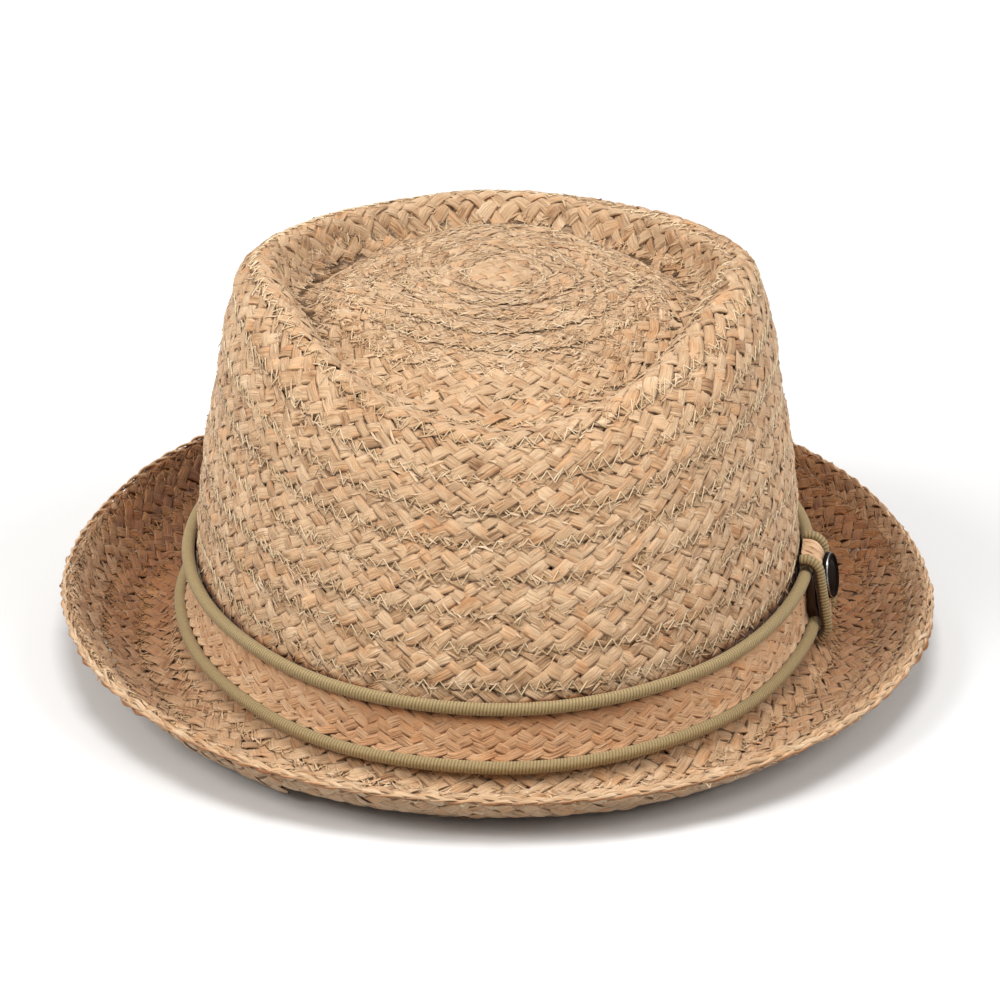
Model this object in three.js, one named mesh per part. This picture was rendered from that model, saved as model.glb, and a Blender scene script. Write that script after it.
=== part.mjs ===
// A porkpie hat of sewn raffia braid: a hollow crown with a diamond-shaped tip,
// a narrow brim turned up all round, a corded band and a riveted keeper loop.
//
// Millimetres. +Z is up, -Y is the front of the hat and +X the wearer's left.
// The origin is on the surface that the hat rests on, under the middle of the brim.
//
// The hat is described on its block: braid rows are counted from the middle of the
// tip (row 0) out to the brim's edge, and an angle goes round the oval. The block is
// then settled on the brim, so that the front and the back of the brim touch down.

import * as THREE from 'three';

// Head oval inside the crown, where the brim breaks away from it.
const HEAD_WIDTH = 162;
const HEAD_LENGTH = 205;

// Height of the crown's ridge at its side corners, above the block's base.
const CROWN_HEIGHT = 108.5;

// How far the brim reaches out at the side, and how high its edge stands there.
const BRIM_REACH = 32.6;
const BRIM_RISE = 21.8;

// Thickness of the straw, and of the doubled row at the brim's edge.
const STRAW_WALL = 2.2;
const EDGE_WALL = 3.2;

// Depth to which the lowest line of the brim is pressed flat where it touches down.
const LAND_DEPTH = 0.6;

// Band round the crown: strap between two cords, both measured up the wall.
const STRAP_THICKNESS = 1.5;
const STRAP_HEIGHT = 11.6;
const PIPING_DIAMETER = 3.5;
const BAND_DROP = 3.3;        // lower cord's middle, below the brim break

// Keeper loop over the band, and its rivet.
const KEEPER_WIDTH = 20;      // outside its two cords
const KEEPER_SETBACK = 17.5;  // its middle, ahead of the crown's widest line
const RIVET_DIAMETER = 12.4;
const RIVET_THICKNESS = 1.8;
const RIVET_RIM = 1.1;
const RIVET_RECESS = 0.5;
const RIVET_FACETS = 24;

// Clearance between neighbouring pieces, and what the rivet stands off for the bulge of
// the strap, which follows the oval.
const SEAT_GAP = 0.35;
const BULGE_ALLOWANCE = 0.15;

// Braid rows: where the brim breaks away, and the last one at the edge.
const BREAK_ROW = 18.2;
const EDGE_ROW = 22.5;
const EDGE_START_ROW = 21.6;

// Fineness of the faceted surfaces.
const ANGLE_STEPS = 60;
const PIPING_SIDES = 8;
const SETTLE_PASSES = 12;
const ROW_STATIONS = [
  1.6, 3.2, 4.6, 5.6, 6.3, 6.9, 7.4, 7.9, 8.4, 8.9, 9.3, 9.7, 10.4, 11.6, 13.2,
  14.8, 16.2, 17.3, 18.0, 18.4, 18.8, 19.2, 19.7, 20.2, 20.8, 21.5, 22.0, 22.5,
];

// Outer half-width and half-length of the crown at the break.
const BASE_X = HEAD_WIDTH / 2 + STRAW_WALL;
const BASE_Y = HEAD_LENGTH / 2 + STRAW_WALL;

// Crown sections. side, front and back are the distances out from the block's axis, and
// middle is where the widest line lies, as shares of BASE_X and BASE_Y. The heights
// up_side, up_front and up_back and the dent at the two front quarters are shares of
// CROWN_HEIGHT. power is the squareness of the oval: 2 is an ellipse, less a diamond.
const CROWN_COLUMNS = [
  'row', 'side', 'front', 'back', 'middle', 'power', 'up_side', 'up_front', 'up_back', 'dent',
];
const CROWN_SECTIONS = [
  [0.0, 0.000, -0.134, 0.134, 0.134, 2.00, 0.940, 0.940, 0.940, 0.000],
  [2.0, 0.198, 0.038, 0.287, 0.134, 2.00, 0.936, 0.927, 0.958, 0.000],
  [3.5, 0.343, 0.162, 0.401, 0.134, 1.90, 0.931, 0.912, 0.968, 0.000],
  [5.5, 0.529, 0.325, 0.516, 0.134, 1.75, 0.917, 0.877, 0.959, 0.010],
  [7.0, 0.655, 0.449, 0.592, 0.124, 1.60, 0.889, 0.824, 0.903, 0.037],
  [7.8, 0.697, 0.522, 0.630, 0.105, 1.55, 0.926, 0.792, 0.917, 0.053],
  [8.6, 0.739, 0.597, 0.683, 0.086, 1.55, 0.991, 0.771, 0.982, 0.020],
  [9.1, 0.790, 0.659, 0.730, 0.076, 1.65, 1.000, 0.778, 0.991, 0.000],
  [9.6, 0.840, 0.706, 0.764, 0.067, 1.80, 0.972, 0.752, 0.968, 0.000],
  [10.5, 0.877, 0.754, 0.792, 0.048, 2.00, 0.889, 0.686, 0.889, 0.000],
  [12.5, 0.922, 0.833, 0.850, 0.029, 2.10, 0.700, 0.550, 0.714, 0.000],
  [14.5, 0.966, 0.903, 0.902, 0.014, 2.10, 0.512, 0.403, 0.525, 0.000],
  [16.5, 0.986, 0.965, 0.950, 0.005, 2.10, 0.323, 0.238, 0.327, 0.000],
  [17.4, 0.990, 0.985, 0.969, 0.000, 2.10, 0.240, 0.159, 0.249, 0.000],
  [18.2, 1.000, 1.008, 0.993, 0.000, 2.10, 0.166, 0.097, 0.180, 0.000],
];

// Brim sections. side, front and back are the distances out past the crown's foot, as
// shares of BRIM_REACH; the heights, and lean, which lifts the wearer's left and drops
// the right, are shares of BRIM_RISE.
const BRIM_COLUMNS = ['row', 'side', 'front', 'back', 'up_side', 'up_front', 'up_back', 'lean'];
const BRIM_SECTIONS = [
  [19.2, 0.178, 0.184, 0.200, 0.514, 0.197, 0.610, 0.000],
  [20.2, 0.439, 0.414, 0.460, 0.427, 0.110, 0.642, 0.000],
  [21.4, 0.770, 0.680, 0.750, 0.670, 0.275, 0.986, -0.020],
  [22.5, 1.000, 0.848, 0.936, 1.000, 0.620, 1.445, -0.055],
];
const BRIM_POWER = 2.1;

// Keeps a diamond section's corners round: share of the other direction mixed in.
const CORNER_BLEND = 0.12;

const STRAW = { color: 0xcdaa82, roughness: 0.75, metalness: 0 };
const STRAP = { color: 0xcd9b73, roughness: 0.7, metalness: 0 };
const CORD = { color: 0x96875a, roughness: 0.8, metalness: 0 };
const GUNMETAL = { color: 0x3c3734, roughness: 0.35, metalness: 1 };

function rowAsObject(columns, values) {
  return Object.fromEntries(columns.map((name, i) => [name, values[i]]));
}

// Sections in millimetres, on the block.
function crownSection(values) {
  const s = rowAsObject(CROWN_COLUMNS, values);
  return {
    row: s.row,
    side: s.side * BASE_X,
    front: s.front * BASE_Y,
    back: s.back * BASE_Y,
    middle: s.middle * BASE_Y,
    power: s.power,
    upSide: s.up_side * CROWN_HEIGHT,
    upFront: s.up_front * CROWN_HEIGHT,
    upBack: s.up_back * CROWN_HEIGHT,
    dent: s.dent * CROWN_HEIGHT,
    lean: 0,
  };
}

const CROWN_FOOT = crownSection(CROWN_SECTIONS[CROWN_SECTIONS.length - 1]);

function brimSection(values) {
  const s = rowAsObject(BRIM_COLUMNS, values);
  return {
    row: s.row,
    side: CROWN_FOOT.side + s.side * BRIM_REACH,
    front: CROWN_FOOT.front + s.front * BRIM_REACH,
    back: CROWN_FOOT.back + s.back * BRIM_REACH,
    middle: CROWN_FOOT.middle,
    power: BRIM_POWER,
    upSide: s.up_side * BRIM_RISE,
    upFront: s.up_front * BRIM_RISE,
    upBack: s.up_back * BRIM_RISE,
    dent: 0,
    lean: s.lean * BRIM_RISE,
  };
}

const SECTIONS = [...CROWN_SECTIONS.map(crownSection), ...BRIM_SECTIONS.map(brimSection)];

// Slope of each column at each section, for a smooth curve through unevenly spaced rows.
function columnSlopes(name) {
  const steps = [];
  for (let i = 1; i < SECTIONS.length; i += 1) {
    const width = SECTIONS[i].row - SECTIONS[i - 1].row;
    steps.push({ width, slope: (SECTIONS[i][name] - SECTIONS[i - 1][name]) / width });
  }
  return SECTIONS.map((_, i) => {
    if (i === 0) return steps[0].slope;
    if (i === steps.length) return steps[i - 1].slope;
    const before = steps[i - 1];
    const after = steps[i];
    return (after.width * before.slope + before.width * after.slope)
      / (after.width + before.width);
  });
}

const SMOOTHED = ['side', 'front', 'back', 'middle', 'power', 'upSide', 'upFront', 'upBack',
  'dent', 'lean'];
const SLOPES = Object.fromEntries(SMOOTHED.map((name) => [name, columnSlopes(name)]));

function sectionAt(row) {
  let i = 0;
  while (i < SECTIONS.length - 2 && SECTIONS[i + 1].row <= row) i += 1;
  const low = SECTIONS[i];
  const high = SECTIONS[i + 1];
  const width = high.row - low.row;
  const t = (row - low.row) / width;
  const lowShare = (1 + 2 * t) * (1 - t) ** 2;
  const lowSlope = t * (1 - t) ** 2 * width;
  const highSlope = t * t * (t - 1) * width;
  const section = {};
  for (const name of SMOOTHED) {
    section[name] = lowShare * low[name] + (1 - lowShare) * high[name]
      + lowSlope * SLOPES[name][i] + highSlope * SLOPES[name][i + 1];
  }
  return section;
}

// Outer skin of the straw on the block.
function skin(angle, row) {
  const s = sectionAt(row);
  const c = Math.cos(angle);
  const d = Math.sin(angle);
  const alongX = Math.hypot(c, CORNER_BLEND * d);
  const alongY = Math.hypot(d, CORNER_BLEND * c);
  const isFront = d < 0;
  const halfLength = isFront ? s.front + s.middle : s.back - s.middle;
  const radius = Math.min(s.side, halfLength) < 1e-6 ? 0
    : ((alongX / s.side) ** s.power + (alongY / halfLength) ** s.power) ** (-1 / s.power);
  const upEnd = isFront ? s.upFront : s.upBack;
  const dent = isFront ? s.dent * (2 * c * d) ** 2 : 0;
  const up = s.upSide + d * d * (upEnd - s.upSide) - dent + s.lean * c;
  return new THREE.Vector3(radius * c, s.middle + radius * d, up);
}

// Directions on the skin: up the wall (towards row 0), round the oval, and outwards.
function skinFrame(angle, row) {
  const step = 0.02;
  const rowIn = Math.max(row - step, 0);
  const rowOut = Math.min(row + step, EDGE_ROW);
  const up = skin(angle, rowIn).sub(skin(angle, rowOut)).normalize();
  const around = skin(angle + step, row).sub(skin(angle - step, row)).normalize();
  const out = new THREE.Vector3().crossVectors(around, up).normalize();
  return { up, around, out };
}

function wallThickness(row) {
  const t = THREE.MathUtils.smoothstep(row, EDGE_START_ROW, EDGE_ROW);
  return STRAW_WALL + t * (EDGE_WALL - STRAW_WALL);
}

function innerSkin(angle, row) {
  return skin(angle, row).addScaledVector(skinFrame(angle, row).out, -wallThickness(row));
}

const ANGLES = Array.from({ length: ANGLE_STEPS }, (_, i) => (i / ANGLE_STEPS) * 2 * Math.PI);

// Tilt and lift that settle the block on the front and the back of its brim.
function settle() {
  const underside = ROW_STATIONS.filter((row) => row > BREAK_ROW)
    .flatMap((row) => ANGLES.map((angle) => innerSkin(angle, row)));
  const halves = {
    front: underside.filter((p) => p.y < 0),
    back: underside.filter((p) => p.y > 0),
  };
  const axis = new THREE.Vector3(1, 0, 0);
  const lowest = (half, tilt) => halves[half]
    .map((p) => p.clone().applyAxisAngle(axis, tilt))
    .reduce((best, p) => (p.z < best.z ? p : best));
  let tilt = 0;
  for (let pass = 0; pass < SETTLE_PASSES; pass += 1) {
    const front = lowest('front', tilt);
    const back = lowest('back', tilt);
    tilt -= Math.atan2(back.z - front.z, back.y - front.y);
  }
  const matrix = new THREE.Matrix4().makeRotationX(tilt);
  const ends = underside.map((p) => p.clone().applyAxisAngle(axis, tilt).y);
  const middle = (Math.min(...ends) + Math.max(...ends)) / 2;
  return matrix.setPosition(0, -middle, -lowest('front', tilt).z - LAND_DEPTH);
}

const SETTLED = settle();

// Geometry from a vertex list and triangles given as index triples.
function facetedGeometry(points, triangles) {
  const geometry = new THREE.BufferGeometry();
  geometry.setAttribute(
    'position',
    new THREE.Float32BufferAttribute(points.flatMap((p) => [p.x, p.y, p.z]), 3),
  );
  geometry.setIndex(triangles.flat());
  geometry.computeVertexNormals();
  return geometry;
}

// Two triangles for each cell between neighbouring rings of equal length.
function ringCells(ringA, ringB) {
  const cells = [];
  ringA.forEach((a, i) => {
    const j = (i + 1) % ringA.length;
    cells.push([a, ringB[i], ringB[j]], [a, ringB[j], ringA[j]]);
  });
  return cells;
}

function makeMesh(name, geometry, finish) {
  const mesh = new THREE.Mesh(geometry, new THREE.MeshStandardMaterial(finish));
  mesh.name = name;
  return mesh;
}

// Crown and brim: outer skin from the tip to the edge, inner skin back to the tip.
function hatBody() {
  const points = [];
  const triangles = [];
  const addPoint = (p) => {
    const settled = p.applyMatrix4(SETTLED);
    settled.z = Math.max(settled.z, 0);
    points.push(settled);
    return points.length - 1;
  };
  const outerRings = ROW_STATIONS.map((row) => ANGLES.map((a) => addPoint(skin(a, row))));
  const innerRings = ROW_STATIONS.map((row) => ANGLES.map((a) => addPoint(innerSkin(a, row))));
  const tip = skin(0, 0);
  const outerTip = addPoint(tip.clone());
  const innerTip = addPoint(tip.clone().setZ(tip.z - STRAW_WALL));
  const rings = [...outerRings, ...innerRings.reverse()];
  for (let i = 1; i < rings.length; i += 1) triangles.push(...ringCells(rings[i - 1], rings[i]));
  ANGLES.forEach((_, i) => {
    const j = (i + 1) % ANGLE_STEPS;
    triangles.push([outerTip, rings[0][i], rings[0][j]]);
    const last = rings[rings.length - 1];
    triangles.push([innerTip, last[j], last[i]]);
  });
  return makeMesh('hat_body', facetedGeometry(points, triangles), STRAW);
}

// Row that lies a given distance up the wall from the brim break.
function rowUpTheWall(angle, distance) {
  const step = distance > 0 ? -0.04 : 0.04;
  let row = BREAK_ROW;
  let left = Math.abs(distance);
  let here = skin(angle, row);
  for (;;) {
    const next = skin(angle, row + step);
    const moved = next.distanceTo(here);
    if (moved >= left) return row + (step * left) / moved;
    left -= moved;
    row += step;
    here = next;
  }
}

// A place on or off the wall, with the directions there, on the block.
function wallPlace(angle, distance, off) {
  const row = rowUpTheWall(angle, distance);
  const frame = skinFrame(angle, row);
  return { point: skin(angle, row).addScaledVector(frame.out, off), ...frame };
}

const PIPING_RADIUS = PIPING_DIAMETER / 2;
const PIPING_OFF = PIPING_RADIUS + SEAT_GAP;
const LOWER_CORD_AT = -BAND_DROP;
const STRAP_FOOT = LOWER_CORD_AT + PIPING_RADIUS + SEAT_GAP;
const STRAP_TOP = STRAP_FOOT + STRAP_HEIGHT;
const UPPER_CORD_AT = STRAP_TOP + SEAT_GAP + PIPING_RADIUS;

// A closed ring whose section is a list of points at each angle.
function closedRing(name, sectionAtAngle, finish) {
  const points = [];
  const sections = ANGLES.map((angle) => sectionAtAngle(angle).map((p) => {
    points.push(p.applyMatrix4(SETTLED));
    return points.length - 1;
  }));
  const triangles = sections.flatMap((s, i) => ringCells(s, sections[(i + 1) % ANGLE_STEPS]));
  return makeMesh(name, facetedGeometry(points, triangles), finish);
}

function hatBand() {
  const corners = [];
  const levels = 3;
  for (let i = 0; i <= levels; i += 1) {
    corners.push([STRAP_FOOT + (i / levels) * STRAP_HEIGHT, SEAT_GAP + STRAP_THICKNESS]);
  }
  for (let i = levels; i >= 0; i -= 1) {
    corners.push([STRAP_FOOT + (i / levels) * STRAP_HEIGHT, SEAT_GAP]);
  }
  return closedRing(
    'hat_band',
    (angle) => corners.map(([distance, off]) => wallPlace(angle, distance, off).point),
    STRAP,
  );
}

function bandPiping(name, distance) {
  return closedRing(name, (angle) => {
    const middle = wallPlace(angle, distance, PIPING_OFF);
    return Array.from({ length: PIPING_SIDES }, (_, i) => {
      const turn = (i / PIPING_SIDES) * 2 * Math.PI;
      return middle.point.clone()
        .addScaledVector(middle.out, PIPING_RADIUS * Math.cos(turn))
        .addScaledVector(middle.up, PIPING_RADIUS * Math.sin(turn));
    });
  }, CORD);
}

// Angle round the block at which the wall lies a given distance ahead of the middle.
function angleAhead(distance) {
  return -Math.asin(distance / CROWN_FOOT.side);
}

// How far the keeper wraps round each cord, and how its upper end turns in to the wall.
const KEEPER_TOP_TURN = THREE.MathUtils.degToRad(85);
const KEEPER_FOOT_TURN = THREE.MathUtils.degToRad(70);
const KEEPER_TUCK = PIPING_OFF - 2 * SEAT_GAP;
const KEEPER_ARC_STEPS = 4;
const KEEPER_SLICES = 4;
const KEEPER_PIPING_STEPS = 20;
const KEEPER_BEND_IN = PIPING_RADIUS + SEAT_GAP;
const KEEPER_BEND_OUT = KEEPER_BEND_IN + STRAP_THICKNESS;

// The keeper's path in one section: over the upper cord, down past the strap, round
// the lower cord. bend is the radius of the path round each cord's middle.
function keeperPath(angle, bend) {
  const upper = wallPlace(angle, UPPER_CORD_AT, PIPING_OFF);
  const lower = wallPlace(angle, LOWER_CORD_AT, PIPING_OFF);
  const down = lower.point.clone().sub(upper.point).normalize();
  const around = upper.around;
  const out = new THREE.Vector3().crossVectors(down, around).normalize();
  const turned = (middle, turn) => middle.clone()
    .addScaledVector(out, bend * Math.cos(turn))
    .addScaledVector(down, -bend * Math.sin(turn));
  const path = [];
  const top = turned(upper.point, KEEPER_TOP_TURN);
  path.push(top.clone().addScaledVector(upper.out, -KEEPER_TUCK));
  for (let i = 0; i <= KEEPER_ARC_STEPS; i += 1) {
    path.push(turned(upper.point, KEEPER_TOP_TURN * (1 - i / KEEPER_ARC_STEPS)));
  }
  for (let i = 0; i <= KEEPER_ARC_STEPS; i += 1) {
    path.push(turned(lower.point, -KEEPER_FOOT_TURN * (i / KEEPER_ARC_STEPS)));
  }
  return path;
}

// The loop's strap, as a slab between an inner and an outer path.
function keeperStrap() {
  const half = KEEPER_WIDTH / 2 - PIPING_DIAMETER - SEAT_GAP;
  const points = [];
  const slices = [];
  for (let i = 0; i <= KEEPER_SLICES; i += 1) {
    const ahead = KEEPER_SETBACK - half * (1 - (2 * i) / KEEPER_SLICES);
    const angle = angleAhead(ahead);
    const loop = [
      ...keeperPath(angle, KEEPER_BEND_OUT),
      ...keeperPath(angle, KEEPER_BEND_IN).reverse(),
    ];
    slices.push(loop.map((p) => {
      points.push(p.applyMatrix4(SETTLED));
      return points.length - 1;
    }));
  }
  const triangles = [];
  for (let i = 1; i < slices.length; i += 1) {
    triangles.push(...ringCells(slices[i - 1], slices[i]));
  }
  const cap = (loop, isFirst) => {
    const last = loop.length - 1;
    for (let i = 0; i < loop.length / 2 - 1; i += 1) {
      const cell = [loop[i], loop[i + 1], loop[last - i - 1], loop[last - i]];
      const [a, b, c, d] = isFirst ? cell : cell.reverse();
      triangles.push([a, b, c], [a, c, d]);
    }
  };
  cap(slices[0], true);
  cap(slices[slices.length - 1], false);
  return makeMesh('keeper_strap', facetedGeometry(points, triangles), STRAP);
}

// One corded edge of the loop.
function keeperPiping(name, ahead) {
  const path = keeperPath(angleAhead(ahead), KEEPER_BEND_IN + PIPING_RADIUS);
  const curve = new THREE.CatmullRomCurve3(path.map((p) => p.applyMatrix4(SETTLED)));
  const section = new THREE.Shape();
  section.absarc(0, 0, PIPING_RADIUS, 0, 2 * Math.PI);
  const geometry = new THREE.ExtrudeGeometry(section, {
    steps: KEEPER_PIPING_STEPS, curveSegments: PIPING_SIDES / 2, bevelEnabled: false, extrudePath: curve,
  });
  return makeMesh(name, geometry, CORD);
}

// The rivet's head, turned about its own axis and seated on the strap's outer face.
function rivet() {
  const radius = RIVET_DIAMETER / 2;
  const bevel = RIVET_RIM / 2;
  const profile = [
    [0, 0],
    [radius, 0],
    [radius, RIVET_THICKNESS - bevel],
    [radius - bevel, RIVET_THICKNESS],
    [radius - RIVET_RIM, RIVET_THICKNESS],
    [radius - RIVET_RIM - bevel, RIVET_THICKNESS - RIVET_RECESS],
    [0, RIVET_THICKNESS - RIVET_RECESS],
  ].map(([x, y]) => new THREE.Vector2(x, y));
  const path = keeperPath(angleAhead(KEEPER_SETBACK), KEEPER_BEND_OUT);
  const high = path[KEEPER_ARC_STEPS + 1];
  const low = path[KEEPER_ARC_STEPS + 2];
  const around = skinFrame(angleAhead(KEEPER_SETBACK), BREAK_ROW).around;
  const out = new THREE.Vector3().crossVectors(low.clone().sub(high), around).normalize();
  const seat = high.clone().lerp(low, 0.5).addScaledVector(out, SEAT_GAP + BULGE_ALLOWANCE);
  const mesh = makeMesh('rivet', new THREE.LatheGeometry(profile, RIVET_FACETS), GUNMETAL);
  const turn = new THREE.Quaternion().setFromUnitVectors(new THREE.Vector3(0, 1, 0), out);
  mesh.applyQuaternion(turn);
  mesh.position.copy(seat);
  mesh.updateMatrix();
  mesh.applyMatrix4(SETTLED);
  return mesh;
}

const hat = new THREE.Group();
hat.add(hatBody());
hat.add(hatBand());
hat.add(bandPiping('band_piping_lower', LOWER_CORD_AT));
hat.add(bandPiping('band_piping_upper', UPPER_CORD_AT));
hat.add(keeperStrap());
const cordInset = KEEPER_WIDTH / 2 - PIPING_RADIUS;
hat.add(keeperPiping('keeper_piping_front', KEEPER_SETBACK + cordInset));
hat.add(keeperPiping('keeper_piping_rear', KEEPER_SETBACK - cordInset));
hat.add(rivet());

export default hat;
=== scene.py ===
"""Looks of a porkpie hat: a sewn spiral of raffia braid, a corded band and a riveted loop."""

import math

import bpy
import numpy as np
from mathutils import Matrix, Vector


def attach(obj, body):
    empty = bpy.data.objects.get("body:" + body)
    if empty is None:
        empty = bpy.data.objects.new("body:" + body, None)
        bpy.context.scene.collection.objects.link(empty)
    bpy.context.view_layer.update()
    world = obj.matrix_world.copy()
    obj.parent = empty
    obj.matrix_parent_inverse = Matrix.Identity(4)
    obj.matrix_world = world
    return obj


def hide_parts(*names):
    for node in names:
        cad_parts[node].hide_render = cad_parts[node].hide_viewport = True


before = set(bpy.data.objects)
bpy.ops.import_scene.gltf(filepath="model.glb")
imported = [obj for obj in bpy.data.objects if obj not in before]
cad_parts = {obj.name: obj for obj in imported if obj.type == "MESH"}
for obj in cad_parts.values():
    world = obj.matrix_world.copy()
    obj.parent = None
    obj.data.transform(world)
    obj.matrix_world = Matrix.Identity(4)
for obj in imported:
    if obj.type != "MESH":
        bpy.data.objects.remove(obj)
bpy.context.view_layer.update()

# Sizes in millimetres, as in the CAD part.
HEAD_WIDTH = 162.0
HEAD_LENGTH = 205.0
CROWN_HEIGHT = 108.5
BRIM_REACH = 32.6
BRIM_RISE = 21.8
STRAW_WALL = 2.2
EDGE_WALL = 3.2
LAND_DEPTH = 0.6
STRAP_THICKNESS = 1.5
STRAP_HEIGHT = 11.6
PIPING_DIAMETER = 3.5
BAND_DROP = 3.3
KEEPER_WIDTH = 20.0
KEEPER_SETBACK = 17.5
RIVET_DIAMETER = 12.4
RIVET_THICKNESS = 1.8
RIVET_RIM = 1.1
RIVET_RECESS = 0.5
SEAT_GAP = 0.35
BULGE_ALLOWANCE = 0.15
BREAK_ROW = 18.2
EDGE_ROW = 22.5
EDGE_START_ROW = 21.6
BRIM_POWER = 2.1
CORNER_BLEND = 0.12
BASE_X = HEAD_WIDTH / 2 + STRAW_WALL
BASE_Y = HEAD_LENGTH / 2 + STRAW_WALL
MM = 0.001

# row, side, front, back, middle, power, up_side, up_front, up_back, dent
CROWN_SECTIONS = (
    (0.0, 0.000, -0.134, 0.134, 0.134, 2.00, 0.940, 0.940, 0.940, 0.000),
    (2.0, 0.198, 0.038, 0.287, 0.134, 2.00, 0.936, 0.927, 0.958, 0.000),
    (3.5, 0.343, 0.162, 0.401, 0.134, 1.90, 0.931, 0.912, 0.968, 0.000),
    (5.5, 0.529, 0.325, 0.516, 0.134, 1.75, 0.917, 0.877, 0.959, 0.010),
    (7.0, 0.655, 0.449, 0.592, 0.124, 1.60, 0.889, 0.824, 0.903, 0.037),
    (7.8, 0.697, 0.522, 0.630, 0.105, 1.55, 0.926, 0.792, 0.917, 0.053),
    (8.6, 0.739, 0.597, 0.683, 0.086, 1.55, 0.991, 0.771, 0.982, 0.020),
    (9.1, 0.790, 0.659, 0.730, 0.076, 1.65, 1.000, 0.778, 0.991, 0.000),
    (9.6, 0.840, 0.706, 0.764, 0.067, 1.80, 0.972, 0.752, 0.968, 0.000),
    (10.5, 0.877, 0.754, 0.792, 0.048, 2.00, 0.889, 0.686, 0.889, 0.000),
    (12.5, 0.922, 0.833, 0.850, 0.029, 2.10, 0.700, 0.550, 0.714, 0.000),
    (14.5, 0.966, 0.903, 0.902, 0.014, 2.10, 0.512, 0.403, 0.525, 0.000),
    (16.5, 0.986, 0.965, 0.950, 0.005, 2.10, 0.323, 0.238, 0.327, 0.000),
    (17.4, 0.990, 0.985, 0.969, 0.000, 2.10, 0.240, 0.159, 0.249, 0.000),
    (18.2, 1.000, 1.008, 0.993, 0.000, 2.10, 0.166, 0.097, 0.180, 0.000),
)
# row, side, front, back, up_side, up_front, up_back, lean
BRIM_SECTIONS = (
    (19.2, 0.178, 0.184, 0.200, 0.514, 0.197, 0.610, 0.000),
    (20.2, 0.439, 0.414, 0.460, 0.427, 0.110, 0.642, 0.000),
    (21.4, 0.770, 0.680, 0.750, 0.670, 0.275, 0.986, -0.020),
    (22.5, 1.000, 0.848, 0.936, 1.000, 0.620, 1.445, -0.055),
)


def section_table():
    """Rows, and for each the ten values of its section in millimetres."""
    crown = np.array(CROWN_SECTIONS)
    scale = np.array([1, BASE_X, BASE_Y, BASE_Y, BASE_Y, 1] + [CROWN_HEIGHT] * 4)
    crown = np.column_stack([crown * scale, np.zeros(len(crown))])
    foot = crown[-1]
    brim = np.array(BRIM_SECTIONS)
    reach = foot[1:4] + brim[:, 1:4] * BRIM_REACH
    shared = np.tile([foot[4], BRIM_POWER], (len(brim), 1))
    up = brim[:, 4:] * BRIM_RISE
    no_dent = np.zeros(len(brim))
    brim = np.column_stack([brim[:, 0], reach, shared, up[:, :3], no_dent, up[:, 3]])
    table = np.vstack([crown, brim])
    return table[:, 0], table[:, 1:]


ROWS, SECTION_VALUES = section_table()


def section_slopes():
    width = np.diff(ROWS)[:, None]
    slope = np.diff(SECTION_VALUES, axis=0) / width
    inner = (width[1:] * slope[:-1] + width[:-1] * slope[1:]) / (width[1:] + width[:-1])
    return np.vstack([slope[:1], inner, slope[-1:]])


SECTION_SLOPES = section_slopes()


def sections_at(row):
    i = np.clip(np.searchsorted(ROWS, row, side="right") - 1, 0, len(ROWS) - 2)
    width = ROWS[i + 1] - ROWS[i]
    t = (row - ROWS[i]) / width
    low_share = ((1 + 2 * t) * (1 - t) ** 2)[:, None]
    low_slope = (t * (1 - t) ** 2 * width)[:, None]
    high_slope = (t * t * (t - 1) * width)[:, None]
    values = low_share * SECTION_VALUES[i] + (1 - low_share) * SECTION_VALUES[i + 1]
    return values + low_slope * SECTION_SLOPES[i] + high_slope * SECTION_SLOPES[i + 1]


def skin(angle, row):
    """Outer skin of the straw on the block, for flat arrays of angle and row."""
    through = row < 0
    angle = np.where(through, angle + math.pi, angle)
    row = np.minimum(np.abs(row), EDGE_ROW)
    side, front, back, middle, power, up_side, up_front, up_back, dent, lean = sections_at(row).T
    c = np.cos(angle)
    d = np.sin(angle)
    along_x = np.hypot(c, CORNER_BLEND * d)
    along_y = np.hypot(d, CORNER_BLEND * c)
    is_front = d < 0
    half_length = np.maximum(np.where(is_front, front + middle, back - middle), 1e-5)
    side = np.maximum(side, 1e-5)
    radius = ((along_x / side) ** power + (along_y / half_length) ** power) ** (-1 / power)
    up_end = np.where(is_front, up_front, up_back)
    dip = np.where(is_front, dent * (2 * c * d) ** 2, 0)
    up = up_side + d * d * (up_end - up_side) - dip + lean * c
    return np.column_stack([radius * c, middle + radius * d, up])


TINY = 1e-12


def unit(v):
    return v / np.maximum(np.linalg.norm(v, axis=-1, keepdims=True), TINY)


def fade(x, start, end):
    """0 up to the start and 1 past the end, evenly between them."""
    return np.clip((x - start) / (end - start), 0, 1)


def flattened(*arrays):
    """The shape that arrays broadcast to, and each of them flat."""
    arrays = np.broadcast_arrays(*arrays)
    return arrays[0].shape, [a.ravel() for a in arrays]


def run_along(line):
    """Length run at each point of a line."""
    steps = np.linalg.norm(np.diff(line, axis=0), axis=1)
    return np.concatenate([[0], np.cumsum(steps)])


def spokes(sides, first, second):
    """Directions round a line, from the first one and away from the second."""
    turn = (np.arange(sides) / sides * 2 * math.pi)[:, None]
    return np.cos(turn) * first[..., None, :] - np.sin(turn) * second[..., None, :]


def skin_frame(angle, row):
    """Directions up the wall, round the oval and outwards."""
    step = 0.02
    up = unit(skin(angle, row - step) - skin(angle, np.minimum(row + step, EDGE_ROW)))
    around = unit(skin(angle + step, row) - skin(angle - step, row))
    return up, around, unit(np.cross(around, up))


def inner_skin(angle, row):
    t = fade(row, EDGE_START_ROW, EDGE_ROW)
    wall = STRAW_WALL + t * t * (3 - 2 * t) * (EDGE_WALL - STRAW_WALL)
    out = skin_frame(angle, row)[2]
    return skin(angle, row) - wall[:, None] * out


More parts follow.
